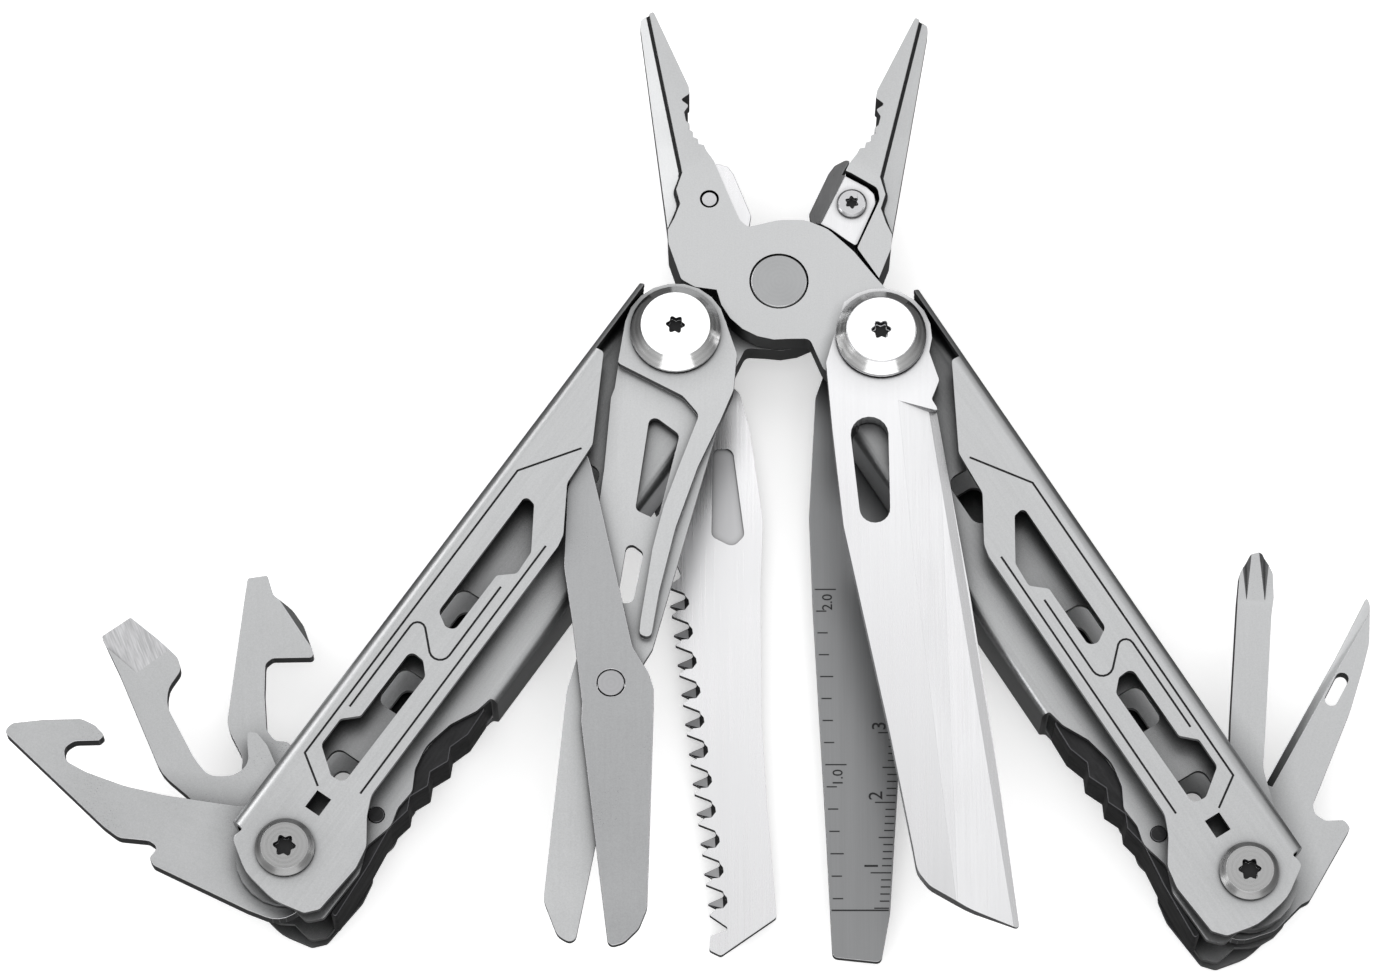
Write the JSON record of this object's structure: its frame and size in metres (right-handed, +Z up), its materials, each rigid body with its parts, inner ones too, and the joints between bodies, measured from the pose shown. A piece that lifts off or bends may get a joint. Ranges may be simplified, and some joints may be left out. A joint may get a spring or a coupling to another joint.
{
  "type": "multi tool",
  "caption": "Folding plier multi tool laid fanned open: spring-free pliers with two channel handles, outer knife, saw, file and scissors, and inner openers and drivers.",
  "frame": {"origin": "middle of the footprint, on the surface that the tool lies on", "axes": "+Z up through the thickness of the tool, +X across the fan from the left handle to the right handle, +Y from the handles toward the plier nose"},
  "size_m": [0.1864, 0.139, 0.0204],
  "materials": {
    "satin_steel": "bead-blasted satin stainless steel",
    "blade_steel": "fine-ground bright stainless steel",
    "file_steel": "mid-grey ground steel with etched scale",
    "insert_steel": "ground hardened steel",
    "screw_steel": "turned and polished stainless steel",
    "black_steel": "black oxide coated steel"
  },
  "bodies": {
    "left_jaw": {"left_jaw": "satin_steel", "plier_rivet": "satin_steel", "left_cutter_insert": "insert_steel", "left_insert_screw": "screw_steel"},
    "right_jaw": {"right_jaw": "satin_steel", "right_cutter_insert": "insert_steel", "right_insert_screw": "screw_steel"},
    "left_handle": {"left_handle": "satin_steel", "left_plier_screw": "screw_steel", "left_plier_nut": "screw_steel", "left_tool_screw": "screw_steel", "left_tool_nut": "screw_steel", "left_lock_pin": "black_steel"},
    "right_handle": {"right_handle": "satin_steel", "right_plier_screw": "screw_steel", "right_plier_nut": "screw_steel", "right_tool_screw": "screw_steel", "right_tool_nut": "screw_steel", "right_lock_pin": "black_steel", "right_tool_spacer": "insert_steel"},
    "left_lock_lever": {"left_lock_lever": "black_steel"},
    "right_lock_lever": {"right_lock_lever": "black_steel"},
    "scissor_frame": {"scissor_frame": "satin_steel", "scissor_rivet": "satin_steel"},
    "scissor_lever": {"scissor_lever": "satin_steel"},
    "saw_blade": {"saw_blade": "blade_steel"},
    "knife_blade": {"knife_blade": "blade_steel"},
    "file_ruler": {"file_ruler": "file_steel"},
    "hook_opener": {"hook_opener": "satin_steel"},
    "flat_driver": {"flat_driver": "satin_steel"},
    "can_opener": {"can_opener": "satin_steel"},
    "phillips_driver": {"phillips_driver": "satin_steel"},
    "awl": {"awl": "satin_steel"}
  },
  "joints": [
    {"name": "plier_hinge", "type": "hinge", "parent": "left_jaw", "child": "right_jaw", "pos_m": [0.01207, 0.02747, 0.0102], "axis": [0, 0, 1], "range_deg": [0, 22]},
    {"name": "left_handle_hinge", "type": "hinge", "parent": "right_jaw", "child": "left_handle", "pos_m": [-0.00236, 0.01849, 0.0102], "axis": [0, 0, -1], "range_deg": [0, 150]},
    {"name": "right_handle_hinge", "type": "hinge", "parent": "left_jaw", "child": "right_handle", "pos_m": [0.02605, 0.01779, 0.0102], "axis": [0, 0, 1], "range_deg": [0, 150]},
    {"name": "left_lock_hinge", "type": "hinge", "parent": "left_handle", "child": "left_lock_lever", "pos_m": [-0.04263, -0.0506, 0.0102], "axis": [0, 0, 1], "range_deg": [0, 4], "stiffness_Nm_per_rad": 0.05},
    {"name": "right_lock_hinge", "type": "hinge", "parent": "right_handle", "child": "right_lock_lever", "pos_m": [0.06271, -0.05327, 0.0102], "axis": [0, 0, -1], "range_deg": [0, 4], "stiffness_Nm_per_rad": 0.05},
    {"name": "scissor_hinge", "type": "hinge", "parent": "left_handle", "child": "scissor_frame", "pos_m": [-0.00236, 0.01849, 0.0102], "axis": [0, 0, -1], "range_deg": [-8, 17]},
    {"name": "scissor_lever_hinge", "type": "hinge", "parent": "scissor_frame", "child": "scissor_lever", "pos_m": [-0.01106, -0.03271, 0.0102], "axis": [0, 0, -1], "range_deg": [0, 11]},
    {"name": "saw_hinge", "type": "hinge", "parent": "left_handle", "child": "saw_blade", "pos_m": [-0.00236, 0.01849, 0.0102], "axis": [0, 0, -1], "range_deg": [-8, 40]},
    {"name": "knife_hinge", "type": "hinge", "parent": "right_handle", "child": "knife_blade", "pos_m": [0.02605, 0.01779, 0.0102], "axis": [0, 0, 1], "range_deg": [-10, 24]},
    {"name": "file_hinge", "type": "hinge", "parent": "right_handle", "child": "file_ruler", "pos_m": [0.02605, 0.01779, 0.0102], "axis": [0, 0, 1], "range_deg": [-8, 34]},
    {"name": "hook_hinge", "type": "hinge", "parent": "left_handle", "child": "hook_opener", "pos_m": [-0.05454, -0.05631, 0.0102], "axis": [0, 0, -1], "range_deg": [-76, 97]},
    {"name": "flat_driver_hinge", "type": "hinge", "parent": "left_handle", "child": "flat_driver", "pos_m": [-0.05454, -0.05631, 0.0102], "axis": [0, 0, -1], "range_deg": [-105, 50]},
    {"name": "can_opener_hinge", "type": "hinge", "parent": "left_handle", "child": "can_opener", "pos_m": [-0.05454, -0.05631, 0.0102], "axis": [0, 0, -1], "range_deg": [-135, 40]},
    {"name": "phillips_hinge", "type": "hinge", "parent": "right_handle", "child": "phillips_driver", "pos_m": [0.07431, -0.05959, 0.0102], "axis": [0, 0, 1], "range_deg": [-140, 36]},
    {"name": "awl_hinge", "type": "hinge", "parent": "right_handle", "child": "awl", "pos_m": [0.07431, -0.05959, 0.0102], "axis": [0, 0, 1], "range_deg": [-122, 58]}
  ]
}
